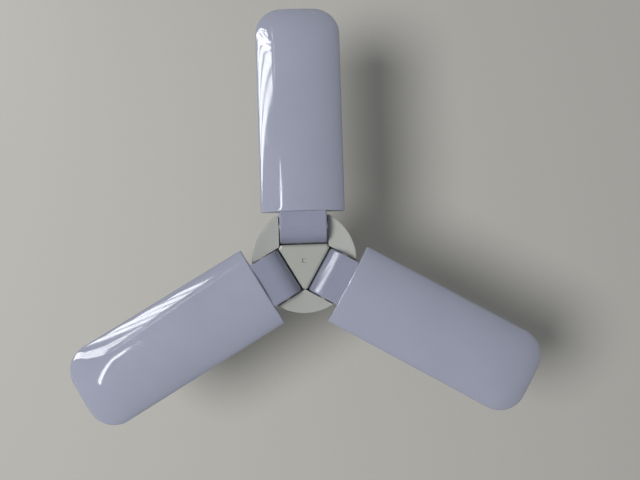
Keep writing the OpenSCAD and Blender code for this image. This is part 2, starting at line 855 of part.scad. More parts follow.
module housing_shell() {
    inner = spigot_bore;
    rotate_extrude()
        polygon(concat(
            [[inner, shell_z + 3], [spigot_r, shell_z + 3], [spigot_r, housing_z], [neck_r, housing_z]],
            bell_line(0),
            [[hub_r, hub_bottom], [hub_r - hub_wall - lip_gap, hub_bottom],
             [hub_r - hub_wall - lip_gap, hub_floor], [hub_r - 2 * hub_wall, hub_floor],
             [hub_r - 2 * hub_wall, band_z]],
            reversed([for (p = bell_line(housing_wall)) if (p[0] < hub_r - 2 * hub_wall) p]),
            [[neck_r - housing_wall, housing_z + 2], [inner, housing_z + 2]]
        ));
}

boss_len = hub_screw_len + 1;
rail_out = 2.4;

module driver_housing() {
    rail_y = driver_w / 2 - 1;
    vent_top = band_z - 4;
    color([0.9, 0.9, 0.88])
        difference() {
            union() {
                housing_shell();
                intersection() {
                    bell_solid();
                    union() {
                        for (side = [-1, 1])
                            translate([-rail_out, side > 0 ? rail_y : -rail_y - beyond, driver_z - 1])
                                cube([2 * rail_out, beyond, driver_h + 1]);
                        for (n = leaf_numbers)
                            at_petal(n)
                                translate([hub_screw_at, -1.5, hub_floor - boss_len])
                                    cube([hub_r - hub_screw_at, 3, boss_len]);
                    }
                }
                intersection() {
                    cylinder(r = hub_r - hub_wall - lip_gap, h = hub_floor);
                    for (n = leaf_numbers)
                        at_petal(n)
                            translate([hub_screw_at, 0, hub_floor - boss_len])
                                cylinder(r = hub_screw_r + 1.7, h = boss_len);
                }
            }
            for (n = leaf_numbers)
                at_petal(n)
                    translate([hub_screw_at, 0, hub_floor - boss_len + 1])
                        cylinder(r = hub_screw_r + screw_gap, h = boss_len);
            translate([-driver_t / 2 - 0.1, -driver_w / 2 - 0.1, driver_z])
                cube([driver_t + 0.2, driver_w + 0.2, beyond]);
            for (i = [0:housing_vents - 1])
                rotate([0, 0, (i + 0.5) * 360 / housing_vents])
                    translate([neck_r - housing_wall, -housing_vent_w / 2, vent_top - housing_vent_h])
                        cube([beyond, housing_vent_w, housing_vent_h]);
        }
}

// ---- Driver ----

module driver_board() {
    color([0.15, 0.42, 0.25])
        translate([-driver_t / 2, -driver_w / 2, driver_z])
            cube([driver_t, driver_w, driver_h]);
}

module on_driver(y, z, face = 1) {
    translate([face * driver_t / 2, y, driver_z + z]) rotate([0, face * 90, 0]) children();
}

transformer_y = -5;
part_gap = 0.3;

module smoothing_capacitor() {
    capacitor_y = transformer_y + transformer_w / 2 + part_gap + capacitor_r;
    color([0.2, 0.22, 0.3])
        on_driver(capacitor_y, driver_h - capacitor_r - 4) {
            cylinder(r = capacitor_r, h = capacitor_len - 0.5);
            cylinder(r = capacitor_r - 0.5, h = capacitor_len);
        }
}

module transformer() {
    core = transformer_w;
    color([0.75, 0.6, 0.2])
        on_driver(transformer_y, driver_h / 2 - 1) {
            translate([-core / 2, -core / 2, 0]) cube([core, core, 2]);
            cylinder(r = core / 2 - 1, h = transformer_d);
            translate([-core / 2, -core / 2, transformer_d - 2]) cube([core, core, 2]);
        }
}

module bridge_rectifier() {
    color([0.1, 0.1, 0.1])
        on_driver(0, 8, -1) translate([-3, -2.5, 0]) cube([6, 5, 1.6]);
}

module driver_chip() {
    color([0.1, 0.1, 0.1])
        on_driver(5, driver_h / 2, -1) translate([-2.5, -2, 0]) cube([5, 4, 1.6]);
}

module film_capacitor() {
    color([0.8, 0.35, 0.15])
        on_driver(6.5, 6.5) translate([-4, -2.5, 0]) cube([8, 5, 8]);
}

module output_terminals() {
    terminal_w = 12;
    color([0.9, 0.9, 0.88])
        translate([-terminal_w / 2, -terminal_w / 2, terminal_z])
            cube([terminal_w, terminal_w, terminal_h]);
}

fuse_z = shell_z + 12;
fuse_len = 8;
fuse_r = 2;

module fuse_resistor() {
    color([0.3, 0.5, 0.35])
        translate([0, 0, fuse_z]) {
            cylinder(r = fuse_r, h = fuse_len);
            translate([0, 0, 0.8]) cylinder(r = fuse_r + 0.4, h = fuse_len - 1.6);
        }
}

module live_lead() {
    board_face = driver_t / 2 + lead_end_gap;
    color([0.7, 0.1, 0.1]) {
        lead([[0, 0, contact_t + 2.1], [0, 0, contact_t + 3.4], [0.3, 0.2, fuse_z - 3],
              [0, 0, fuse_z - 1], [0, 0, fuse_z - lead_end_gap]], supply_r);
        lead([[0, 0, fuse_z + fuse_len + lead_end_gap], [0, 0, fuse_z + fuse_len + 1.2],
              [1, 1, neck_top - 3], [3.8, 3, driver_z], [3.4, 3, driver_z + 3],
              [board_face + 0.8, 3, driver_z + 3.6], [board_face, 3, driver_z + 3.6]], supply_r);
    }
}

module neutral_lead() {
    board_face = driver_t / 2 + lead_end_gap;
    shell_side = spigot_bore - supply_r - 0.2;
    color([0.1, 0.2, 0.6])
        lead([[-shell_side, 0, shell_z + 3.2], [-shell_side, 0, fuse_z],
              [-5, -2, neck_top - 2], [-4, -5, driver_z], [-3.6, -5, driver_z + 2.6],
              [-board_face - 0.8, -5, driver_z + 3.2], [-board_face, -5, driver_z + 3.2]], supply_r);
}

// ---- Screw cap ----

module screw_cap() {
    mean_r = (thread_crest_r + thread_root_r) / 2;
    lead_in = 0.8;
    thread_len = shell_len - shell_skirt - lead_in;
    turns = thread_len / thread_pitch;
    color([0.78, 0.76, 0.7])
        translate([0, 0, shell_z])
            difference() {
                union() {
                    cylinder(r1 = thread_root_r - 0.4, r2 = thread_root_r, h = lead_in + small);
                    translate([0, 0, lead_in])
                        linear_extrude(height = thread_len, twist = -360 * turns, slices = ceil(turns * 10))
                            translate([(thread_crest_r - thread_root_r) / 2, 0]) circle(r = mean_r, $fn = 32);
                    translate([0, 0, shell_len - shell_skirt - small])
                        cylinder(r = shell_skirt_r, h = shell_skirt + small);
                }
                translate([0, 0, -1]) cylinder(r = shell_bore_r, h = shell_len + 2);
            }
}

module cap_insulator() {
    color([0.08, 0.08, 0.09])
        rotate_extrude()
            polygon([[supply_r + 0.8, contact_t], [contact_r + 1.2, contact_t],
                     [contact_r + 2, contact_t + 0.8], [thread_root_r - 0.5, shell_z],
                     [spigot_r, shell_z], [spigot_r, shell_z + 2.9], [supply_r + 0.8, shell_z + 2.9]]);
}

module centre_contact() {
    color([0.7, 0.66, 0.55]) {
        difference() {
            intersection() {
                cylinder(r = contact_r, h = contact_t);
                translate([0, 0, 30]) sphere(r = 30 + 0.35);
            }
            translate([0, 0, -1]) cylinder(r = contact_r + 1, h = 1);
        }
        translate([0, 0, contact_t - small]) cylinder(r = supply_r + 0.6, h = 2);
    }
}

// ---- Nodes ----

screw_cap();
cap_insulator();
centre_contact();
driver_housing();
hub_body();
front_plate();
driver_board();
smoothing_capacitor();
transformer();
bridge_rectifier();
driver_chip();
film_capacitor();
fuse_resistor();
output_terminals();
live_lead();
neutral_lead();
hub_screws();
for (n = leaf_numbers) {
    petal_cap(n);
    hub_lead(n);
    at_leaf(n) leaf_arm();
    at_leaf(n) tray();
    at_leaf(n) diffuser();
    at_leaf(n) led_board();
    at_leaf(n) led_chips();
    at_leaf(n) hinge_pins();
    at_leaf(n) friction_washers();
    at_leaf(n) arm_screws();
    at_leaf(n) board_screws();
    at_leaf(n) leaf_lead();
}
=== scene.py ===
import json
import math
from functools import partial

import bmesh
import bpy
from mathutils import Matrix, Vector


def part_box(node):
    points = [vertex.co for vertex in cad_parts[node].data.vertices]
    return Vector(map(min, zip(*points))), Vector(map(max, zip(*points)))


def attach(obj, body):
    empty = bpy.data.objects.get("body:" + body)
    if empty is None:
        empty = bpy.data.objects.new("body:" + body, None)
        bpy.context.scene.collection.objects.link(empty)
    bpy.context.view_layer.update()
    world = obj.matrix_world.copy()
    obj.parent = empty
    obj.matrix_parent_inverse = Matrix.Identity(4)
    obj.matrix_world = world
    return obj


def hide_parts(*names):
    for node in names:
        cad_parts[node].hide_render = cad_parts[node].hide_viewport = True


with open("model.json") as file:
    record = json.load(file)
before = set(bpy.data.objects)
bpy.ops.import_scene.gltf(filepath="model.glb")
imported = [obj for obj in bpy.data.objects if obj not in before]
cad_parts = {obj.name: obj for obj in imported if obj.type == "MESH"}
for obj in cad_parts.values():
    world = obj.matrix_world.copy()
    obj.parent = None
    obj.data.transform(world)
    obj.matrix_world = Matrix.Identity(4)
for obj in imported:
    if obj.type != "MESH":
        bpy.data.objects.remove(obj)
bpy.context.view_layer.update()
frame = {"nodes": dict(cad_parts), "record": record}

mm = 0.001
leaves = (1, 2, 3)
print("frame loaded:", len(frame["nodes"]), "nodes")


def feed(tree, socket, value):
    # links a socket, or writes a plain value
    if isinstance(value, bpy.types.NodeSocket):
        tree.links.new(value, socket)
    else:
        socket.default_value = value


def newNode(tree, kind, values=None, **settings):
    # a node with its settings, and a link or a plain value for each socket that is named or counted
    node = tree.nodes.new(kind)
    for label, value in settings.items():
        setattr(node, label, value)
    for socket, value in (values or {}).items():
        feed(tree, node.inputs[socket], value)
    return node.outputs


def maths(tree, operation, *terms):
    return newNode(tree, "ShaderNodeMath", dict(enumerate(terms)), operation=operation)[0]


def spread(tree, value, fromLow, fromHigh, toLow=0.0, toHigh=1.0, kind="LINEAR"):
    return newNode(tree, "ShaderNodeMapRange", {"Value": value, "From Min": fromLow, "From Max": fromHigh,
                                                "To Min": toLow, "To Max": toHigh}, interpolation_type=kind)["Result"]


def blendColour(tree, share, first, second):
    return newNode(tree, "ShaderNodeMix", {0: share, 6: first, 7: second}, data_type="RGBA")[2]


def noise(tree, vector, scale, detail=3.0, rough=0.5, distortion=0.0):
    return newNode(tree, "ShaderNodeTexNoise", {"Vector": vector, "Scale": scale, "Detail": detail,
                                                "Roughness": rough, "Distortion": distortion})["Fac"]


def objectPlace(tree, stretch=(1, 1, 1)):
    place = newNode(tree, "ShaderNodeTexCoord")["Object"]
    return newNode(tree, "ShaderNodeMapping", {"Vector": place, "Scale": stretch})["Vector"]


def apart(tree, vector):
    return newNode(tree, "ShaderNodeSeparateXYZ", {0: vector})


def together(tree, x, y, z):
    return newNode(tree, "ShaderNodeCombineXYZ", {0: x, 1: y, 2: z})[0]


def mixShaders(tree, share, first, second):
    return newNode(tree, "ShaderNodeMixShader", {0: share, 1: first, 2: second})[0]


def paint(red, green, blue):
    # a colour as it is seen, 0 to 255, turned to the scene's linear values
    def linear(value):
        value = value / 255
        return value / 12.92 if value <= 0.04045 else ((value + 0.055) / 1.055) ** 2.4
    return (linear(red), linear(green), linear(blue), 1.0)


def newGroup(name, inputs, outputs):
    # a shader group: its inputs with their plain values, and the names of its outputs
    tree = bpy.data.node_groups.new(name, "ShaderNodeTree")
    for label, value in inputs.items():
        tree.interface.new_socket(label, in_out="INPUT", socket_type="NodeSocketFloat").default_value = value
    for label in outputs:
        tree.interface.new_socket(label, in_out="OUTPUT", socket_type="NodeSocketFloat")
    return tree, tree.nodes.new("NodeGroupInput").outputs, tree.nodes.new("NodeGroupOutput").inputs


def makeMouldGrain():
    # the fine grain and the slow waves of moulded plastic
    tree, given, made = newGroup("mouldGrain", {
        "Grain Scale": 3000.0, "Wave Scale": 45.0, "Wave Share": 0.6, "Cloud Scale": 22.0}, ("Height", "Cloud"))
    place = objectPlace(tree)
    grain = noise(tree, place, given["Grain Scale"], detail=2.0)
    wave = noise(tree, place, given["Wave Scale"], detail=1.5, rough=0.4)
    left = maths(tree, "SUBTRACT", 1.0, given["Wave Share"])
    height = maths(tree, "ADD", maths(tree, "MULTIPLY", wave, given["Wave Share"]),
                   maths(tree, "MULTIPLY", grain, left))
    tree.links.new(height, made["Height"])
    tree.links.new(noise(tree, place, given["Cloud Scale"], detail=4.0, rough=0.55), made["Cloud"])
    return tree


def makeHandling():
    # soft smudges from hands, and hair-fine scratches in patches that run several ways
    tree, given, made = newGroup("handling", {
        "Smudge Scale": 70.0, "Smudge From": 0.42, "Smudge To": 0.72, "Scratch Scale": 160.0,
        "Scratch Width": 0.006, "Patch Scale": 90.0, "Patch From": 0.56, "Patch To": 0.7}, ("Smudge", "Scratch"))
    place = objectPlace(tree)
    smudge = noise(tree, place, given["Smudge Scale"], detail=5.0, rough=0.62, distortion=0.8)
    smudge = spread(tree, smudge, given["Smudge From"], given["Smudge To"], kind="SMOOTHSTEP")
    tree.links.new(smudge, made["Smudge"])
    patch = spread(tree, noise(tree, place, given["Patch Scale"], detail=2.0), given["Patch From"], given["Patch To"])
    lines = 0.0
    for stretch in ((1, 0.04, 1), (0.05, 1, 0.4), (0.5, 0.5, 0.03)):
        strand = objectPlace(tree, stretch)
        strand = noise(tree, strand, given["Scratch Scale"], detail=2.0, rough=0.4, distortion=0.3)
        away = maths(tree, "ABSOLUTE", maths(tree, "SUBTRACT", strand, 0.5))
        line = spread(tree, away, 0.0, given["Scratch Width"], 1.0, 0.0)
        lines = maths(tree, "MAXIMUM", lines, maths(tree, "MULTIPLY", line, patch))
    tree.links.new(lines, made["Scratch"])
    return tree


def makeSettledDust():
    # pale specks and a thin film on faces that look to the front
    tree, given, made = newGroup("settledDust", {
        "Amount": 0.3, "Speck Scale": 1400.0, "Speck From": 0.69, "Speck To": 0.75, "Film Scale": 60.0,
        "Film From": 0.35, "Film To": 0.8, "Film Share": 0.45, "Level From": 0.2, "Level To": 0.95}, ("Mask",))
    place = objectPlace(tree)
    speck = noise(tree, place, given["Speck Scale"], detail=1.0)
    speck = spread(tree, speck, given["Speck From"], given["Speck To"])
    film = noise(tree, place, given["Film Scale"], detail=5.0, rough=0.6)
    film = spread(tree, film, given["Film From"], given["Film To"], 0.0, given["Film Share"])
    facing = apart(tree, newNode(tree, "ShaderNodeTexCoord")["Normal"])["Z"]
    level = spread(tree, facing, given["Level From"], given["Level To"])
    mask = maths(tree, "MULTIPLY", maths(tree, "MAXIMUM", speck, film), level)
    tree.links.new(maths(tree, "MULTIPLY", mask, given["Amount"]), made["Mask"])
    return tree


def makeEdgeHighlightAndWear():
    # edges made lighter by how sharply the surface turns: a painted highlight on the plastics, rubbed wear on the
    # metals
    tree, given, made = newGroup("edgeRub", {
        "From": 0.52, "To": 0.6, "Break Up": 0.4, "Patch Scale": 400.0, "Patch From": 0.35, "Patch To": 0.65},
        ("Mask",))
    turn = newNode(tree, "ShaderNodeNewGeometry")["Pointiness"]
    edge = spread(tree, turn, given["From"], given["To"])
    patch = noise(tree, objectPlace(tree), given["Patch Scale"], detail=4.0, rough=0.6)
    patch = spread(tree, patch, given["Patch From"], given["Patch To"])
    kept = maths(tree, "SUBTRACT", 1.0, maths(tree, "MULTIPLY", given["Break Up"], patch))
    tree.links.new(maths(tree, "MULTIPLY", edge, kept), made["Mask"])
    return tree


groups = {"grain": makeMouldGrain(), "handling": makeHandling(), "dust": makeSettledDust(), "edge": makeEdgeHighlightAndWear()}


def useGroup(tree, name, **values):
    values = {label.replace("_", " "): value for label, value in values.items()}
    return newNode(tree, "ShaderNodeGroup", values, node_tree=groups[name])


def newFinish(name, **settings):
    material = bpy.data.materials.new(name)
    material.use_nodes = True
    tree = material.node_tree
    shader = tree.nodes["Principled BSDF"]
    for label, value in settings.items():
        shader.inputs[label.replace("_", " ")].default_value = value
    return material, tree, shader


def addRoughness(tree, shader, rough, *marks):
    # each mark is a mask and what it adds to the roughness where it is full
    for mask, share in marks:
        rough = maths(tree, "MULTIPLY_ADD", mask, share, rough)
    tree.links.new(rough, shader.inputs["Roughness"])


def addBump(tree, shader, height, distance):
    bump = newNode(tree, "ShaderNodeBump", {"Distance": distance, "Height": height})
    tree.links.new(bump["Normal"], shader.inputs["Normal"])


plasticMarks = {"cloudFrom": 0.3, "cloudTo": 0.7, "edgeShare": 0.5, "dust": paint(200, 198, 192),
                "smudgeRough": 0.09, "scratchRough": 0.12, "dustRough": 0.4}


def mouldedPlastic(name, base, shade, rough, dust=0.25, wave=0.5, bump=0.04 * mm, edge=None, **settings):
    # moulded plastic: two close tones in slow clouds, grain, smudges, dust, and lighter edges that are a painted edge
    # highlight
    material, tree, shader = newFinish(name, **settings)
    grain = useGroup(tree, "grain", Wave_Share=wave)
    hand = useGroup(tree, "handling")
    edgeLightAndWear = useGroup(tree, "edge")
    settled = useGroup(tree, "dust", Amount=dust)
    tone = spread(tree, grain["Cloud"], plasticMarks["cloudFrom"], plasticMarks["cloudTo"])
    colour = blendColour(tree, tone, base, shade)
    # the lighter edge colour is a painted highlight where the surface turns sharply
    rubbed = maths(tree, "MULTIPLY", edgeLightAndWear["Mask"], plasticMarks["edgeShare"])
    colour = blendColour(tree, rubbed, colour, edge or base)
    colour = blendColour(tree, settled["Mask"], colour, plasticMarks["dust"])
    tree.links.new(colour, shader.inputs["Base Color"])
    addRoughness(tree, shader, rough, (hand["Smudge"], plasticMarks["smudgeRough"]),
                 (hand["Scratch"], plasticMarks["scratchRough"]), (settled["Mask"], plasticMarks["dustRough"]))
    addBump(tree, shader, grain["Height"], bump)
    return material


metalMarks = {"lineScale": 2600.0, "tarnishScale": 130.0, "tarnishFrom": 0.35, "tarnishTo": 0.72,
              "scratchScale": 420.0, "rubbed": paint(225, 222, 214), "lineRough": 0.16, "tarnishRough": 0.12,
              "scratchRough": 0.15}


def brightMetal(name, base, shade, rough, brushed=(1, 1, 0.06), bump=0.01 * mm):
    # drawn or plated metal: fine lines, cloudy tarnish and lighter worn edges
    material, tree, shader = newFinish(name, Metallic=1.0)
    hand = useGroup(tree, "handling", Scratch_Scale=metalMarks["scratchScale"])
    edgeLightAndWear = useGroup(tree, "edge")
    lines = noise(tree, objectPlace(tree, brushed), metalMarks["lineScale"])
    tarnish = noise(tree, objectPlace(tree), metalMarks["tarnishScale"], detail=5.0, rough=0.62)
    tarnish = spread(tree, tarnish, metalMarks["tarnishFrom"], metalMarks["tarnishTo"])
    colour = blendColour(tree, tarnish, base, shade)
    colour = blendColour(tree, edgeLightAndWear["Mask"], colour, metalMarks["rubbed"])
    tree.links.new(colour, shader.inputs["Base Color"])
    addRoughness(tree, shader, rough, (lines, metalMarks["lineRough"]), (tarnish, metalMarks["tarnishRough"]),
                 (hand["Scratch"], metalMarks["scratchRough"]))
    addBump(tree, shader, maths(tree, "ADD", lines, hand["Scratch"]), bump)
    return material


sleeve = {"sheen": 0.1, "rough": 0.42, "grainScale": 1800.0, "grainRough": 0.2, "grainDepth": 0.03 * mm}


def wireSleeve(name, base, shade):
    # soft silicone with a fine grain from the extruder
    material, tree, shader = newFinish(name, Sheen_Weight=sleeve["sheen"])
    hand = useGroup(tree, "handling")
    grain = noise(tree, objectPlace(tree), sleeve["grainScale"], detail=2.0)
    tree.links.new(blendColour(tree, hand["Smudge"], base, shade), shader.inputs["Base Color"])
    addRoughness(tree, shader, sleeve["rough"], (grain, sleeve["grainRough"]))
    addBump(tree, shader, grain, sleeve["grainDepth"])
    return material


board = {"coat": 0.3, "trackScale": 260.0, "trackWidth": 0.09, "trackDepth": 0.03 * mm, "copperShare": 0.35,
         "smudgeRough": 0.15}


def circuitFinish(name, mask, copper, rough):
    # solder mask with the faint relief of the tracks under it
    material, tree, shader = newFinish(name, Coat_Weight=board["coat"])
    tracks = newNode(tree, "ShaderNodeTexBrick", {"Vector": objectPlace(tree), "Scale": board["trackScale"],
                                                  "Mortar Size": board["trackWidth"]})["Fac"]
    hand = useGroup(tree, "handling")
    share = maths(tree, "MULTIPLY", tracks, board["copperShare"])
    tree.links.new(blendColour(tree, share, mask, copper), shader.inputs["Base Color"])
    addRoughness(tree, shader, rough, (hand["Smudge"], board["smudgeRough"]))
    addBump(tree, shader, tracks, board["trackDepth"])
    return material


# each plastic's edge colour, its third colour, is a painted highlight on its sharp edges
finishes = {
    "milky_diffuser": mouldedPlastic(
        "opalDiffuser", paint(146, 151, 171), paint(151, 155, 175), 0.05, dust=0.06, wave=0.999, bump=0.06 * mm,
        edge=paint(176, 182, 206), IOR=1.58, Subsurface_Weight=0.12, Subsurface_Radius=(0.9, 0.9, 1.1),
        Subsurface_Scale=3 * mm, Coat_Weight=0.5, Coat_Roughness=0.04),
    "milky_plastic": mouldedPlastic(
        "opalArm", paint(136, 140, 161), paint(131, 135, 156), 0.15, dust=0.03, wave=0.95, bump=0.08 * mm,
        edge=paint(141, 145, 166), IOR=1.55, Subsurface_Weight=0.1, Subsurface_Radius=(0.9, 0.9, 1.1),
        Subsurface_Scale=2 * mm, Coat_Weight=0.2, Coat_Roughness=0.08),
    "white_plastic": mouldedPlastic(
        "hubPlastic", paint(166, 168, 165), paint(160, 163, 160), 0.36, dust=0.2, wave=0.35, bump=0.02 * mm,
        edge=paint(172, 174, 170)),
    "plate_plastic": mouldedPlastic(
        "platePlastic", paint(161, 164, 159), paint(155, 158, 153), 0.34, dust=0.2, wave=0.35, bump=0.02 * mm,
        edge=paint(170, 172, 167)),
    "tray_plastic": mouldedPlastic(
        "trayPlastic", paint(206, 206, 203), paint(198, 199, 197), 0.42, dust=0.2, wave=0.3, bump=0.02 * mm,
        edge=paint(210, 210, 206)),
    "black_insulator": mouldedPlastic(
        "blackGlass", paint(18, 18, 20), paint(30, 29, 30), 0.08, dust=0.2, wave=0.8, bump=0.08 * mm,
        edge=paint(60, 60, 62), Coat_Weight=0.5),
    "chip_black": mouldedPlastic("chipBlack", paint(28, 28, 30), paint(38, 38, 40), 0.5, dust=0.1, wave=0.1),
    "capacitor_sleeve": mouldedPlastic("capacitorSleeve", paint(40, 44, 62), paint(50, 54, 74), 0.22),
    "transformer_core": mouldedPlastic("tapedCore", paint(178, 148, 60), paint(150, 122, 46), 0.4),
    "film_orange": mouldedPlastic("dippedFilm", paint(186, 92, 42), paint(166, 78, 36), 0.2),
    "resistor_body": mouldedPlastic("resistorBody", paint(86, 128, 94), paint(76, 114, 84), 0.4),
    "terminal_plastic": mouldedPlastic("terminalPlastic", paint(214, 214, 210), paint(204, 204, 200), 0.4),
    "led_phosphor": mouldedPlastic("ledPhosphor", paint(226, 196, 84), paint(216, 180, 66), 0.3, dust=0.05, wave=0.2),
    "cap_metal": brightMetal("capShell", paint(186, 182, 174), paint(160, 154, 144), 0.2),
    "contact_metal": brightMetal(
        "tinnedContact", paint(176, 174, 168), paint(146, 140, 128), 0.28, brushed=(1, 1, 1), bump=0.05 * mm),
    "screw_steel": brightMetal("zincScrew", paint(178, 180, 182), paint(150, 150, 150), 0.26, brushed=(1, 1, 1)),
    "pin_steel": brightMetal("groundPin", paint(190, 190, 192), paint(168, 168, 170), 0.16),
    "board_aluminium": circuitFinish("whiteBoard", paint(228, 229, 226), paint(208, 205, 196), 0.3),
    "circuit_board": circuitFinish("greenBoard", paint(28, 92, 50), paint(70, 120, 62), 0.28),
    "red_wire": wireSleeve("redSleeve", paint(160, 34, 30), paint(140, 26, 24)),
    "blue_wire": wireSleeve("blueSleeve", paint(36, 56, 138), paint(28, 44, 118)),
    "white_wire": wireSleeve("whiteSleeve", paint(216, 216, 212), paint(204, 204, 200)),
}
# the washers' dark colour is painted shade for the gaps of the hinges
paintedShadeWashers = brightMetal("blackedWasher", paint(84, 84, 86), paint(62, 62, 64), 0.5, brushed=(1, 1, 1))
slotOf = {part["node"]: part["material_slot"] for part in frame["record"]["subparts"]}
print("finishes made:", len(finishes) + 1)


def newRule(name, sizes):
    # a geometry tree with a named input for each size, and the maths for its nodes
    tree = bpy.data.node_groups.new(name, "GeometryNodeTree")
    tree.interface.new_socket("Geometry", in_out="INPUT", socket_type="NodeSocketGeometry")
    for label, value in sizes.items():
        kind = "NodeSocketInt" if isinstance(value, int) else "NodeSocketFloat"
        tree.interface.new_socket(label, in_out="INPUT", socket_type=kind).default_value = value
    tree.interface.new_socket("Finish", in_out="INPUT", socket_type="NodeSocketMaterial")
    tree.interface.new_socket("Geometry", in_out="OUTPUT", socket_type="NodeSocketGeometry")
    return tree, tree.nodes.new("NodeGroupInput").outputs, partial(maths, tree)


def endRule(tree, given, geometry):
    # the last steps of each rule: real faces, with their finish
    geometry = newNode(tree, "GeometryNodeRealizeInstances", {"Geometry": geometry})["Geometry"]
    dress = newNode(tree, "GeometryNodeSetMaterial", {"Geometry": geometry, "Material": given["Finish"]})
    newNode(tree, "NodeGroupOutput", {"Geometry": dress["Geometry"]})
    return tree


def placed(item):
    bpy.context.scene.collection.objects.link(item)
    return item


def newPiece(name, mesh):
    mesh.name = name
    return placed(bpy.data.objects.new(name, mesh))


def meshOf(item):
    bpy.context.view_layer.update()
    graph = bpy.context.evaluated_depsgraph_get()
    return bpy.data.meshes.new_from_object(item.evaluated_get(graph), depsgraph=graph)


def growPiece(name, rule, sizes, finish):
    # runs a rule with its sizes and returns the result as a plain mesh object
    carrier = placed(bpy.data.objects.new(name + "Rule", bpy.data.meshes.new(name + "Seed")))
    modifier = carrier.modifiers.new("rule", "NODES")
    modifier.node_group = rule
    values = {**sizes, "Finish": finish}
    for item in rule.interface.items_tree:
        if item.in_out == "INPUT" and item.name in values:
            modifier[item.identifier] = values[item.name]
    mesh = meshOf(carrier)
    bpy.data.objects.remove(carrier)
    return newPiece(name, mesh)


def gridOf(tree, wide, long, columns, rows):
    return newNode(tree, "GeometryNodeMeshGrid", {"Size X": wide, "Size Y": long, "Vertices X": columns,
                                                  "Vertices Y": rows})["Mesh"]


def pointPlace(tree):
    return apart(tree, newNode(tree, "GeometryNodeInputPosition")[0])


def evenGrid(tree, given):
    # a flat grid with its across value from -1 to 1 and its along value from 0 to 1
    place = pointPlace(tree)
    grid = gridOf(tree, 2.0, 1.0, given["Columns"], given["Rows"])
    return grid, place["X"], maths(tree, "ADD", place["Y"], 0.5)


def putPoints(tree, geometry, x, y, z, only=True):
    place = together(tree, x, y, z)
    return newNode(tree, "GeometryNodeSetPosition", {"Geometry": geometry, "Selection": only,
                                                     "Position": place})["Geometry"]


# the diffuser: a dome with a full section that falls to the tip in a quarter ellipse
diffuser = {
    "wall": 1.5 * mm, "tipInset": 0.085 * mm, "weld": 0.001 * mm, "smooth": 40,
    "rule": {"Hub Width": 42.2 * mm, "Corner Radius": 13.5 * mm, "Crown Height": 7 * mm, "Crown Run": 24 * mm,
             "Crown Power": 0.7, "Edge Round": 0.8 * mm, "Hub Share": 0.05, "Run Share": 0.42,
             "Columns": 81, "Rows": 121},
}


def makeDiffuserRule(sizes):
    tree, given, calc = newRule("diffuserRule", sizes)
    quarter = math.pi / 2
    mesh, across, along = evenGrid(tree, given)
    # three runs from hub to tip: the rounded hub edge, the straight part and the fall of the crown
    hubTurn = spread(tree, along, 0.0, given["Hub Share"], 0.0, quarter)
    middle = spread(tree, along, given["Hub Share"], given["Run Share"])
    tipTurn = spread(tree, along, given["Run Share"], 1.0, 0.0, quarter)
    inset = calc("MULTIPLY", given["Edge Round"], calc("SUBTRACT", 1.0, calc("SINE", hubTurn)))
    hubStep = calc("MULTIPLY", given["Edge Round"], calc("SUBTRACT", 1.0, calc("COSINE", hubTurn)))
    length = calc("SUBTRACT", given["End"], given["Start"])
    straight = calc("SUBTRACT", calc("SUBTRACT", length, given["Edge Round"]), given["Crown Run"])
    tipStep = calc("MULTIPLY", given["Crown Run"], calc("SINE", tipTurn))
    y = calc("ADD", calc("ADD", given["Start"], hubStep), calc("ADD", calc("MULTIPLY", straight, middle), tipStep))
    # half the width: a slow taper, then the round corners
    wider = calc("SUBTRACT", given["Tip Width"], given["Hub Width"])
    gone = calc("DIVIDE", calc("SUBTRACT", y, given["Start"]), length)
    side = calc("MULTIPLY", calc("MULTIPLY_ADD", wider, gone, given["Hub Width"]), 0.5)
    radius = given["Corner Radius"]
    centreX = calc("SUBTRACT", calc("MULTIPLY", given["Tip Width"], 0.5), radius)
    past = calc("MAXIMUM", 0.0, calc("SUBTRACT", y, calc("SUBTRACT", given["End"], radius)))
    square = calc("SUBTRACT", calc("MULTIPLY", radius, radius), calc("MULTIPLY", past, past))
    bow = calc("SQRT", calc("MAXIMUM", 0.0, square))
    half = calc("SUBTRACT", calc("MINIMUM", side, calc("ADD", centreX, bow)), inset)
    # the crown over that width
    u = calc("SINE", calc("MULTIPLY", across, quarter))
    crown = calc("MULTIPLY", given["Crown Height"], calc("COSINE", tipTurn))
    height = calc("MAXIMUM", 0.0, calc("SUBTRACT", crown, inset))
    section = calc("MAXIMUM", 0.0, calc("SUBTRACT", 1.0, calc("MULTIPLY", u, u)))
    section = calc("POWER", section, given["Crown Power"])
    z = calc("ADD", given["Edge Height"], calc("MULTIPLY", height, section))
    dome = putPoints(tree, mesh, calc("MULTIPLY", half, u), y, z)
    # the straight edge goes down from the rim of the dome
    rim = calc("LESS_THAN", newNode(tree, "GeometryNodeInputMeshEdgeNeighbors")[0], 1.5)
    down = together(tree, 0.0, 0.0, -1 * mm)
    skirt = newNode(tree, "GeometryNodeExtrudeMesh", {"Mesh": dome, "Selection": rim, "Offset": down,
                                                      "Offset Scale": 1.0}, mode="EDGES")
    place = pointPlace(tree)
    shell = putPoints(tree, skirt["Mesh"], place["X"], place["Y"], given["Skirt Bottom"], skirt["Top"])
    return endRule(tree, given, shell)


# the screw cap's shell: a drawn tube with a rolled thread between a crimped foot and a plain skirt
capShell = {
    "wall": 0.3 * mm, "smooth": 50,
    "rule": {"Root": 12.15 * mm, "Crest": 13.15 * mm, "Pitch": 3.63 * mm, "Thread In": 0.7, "Thread Out": 0.4,
             "Lead In": 0.8 * mm, "Crimp": 0.9 * mm, "Skirt": 3 * mm, "Skirt Radius": 13.3 * mm,
             "Flare Before": 0.4 * mm, "Flare After": 0.8 * mm, "Weld": 0.001 * mm, "Columns": 145, "Rows": 181},
}


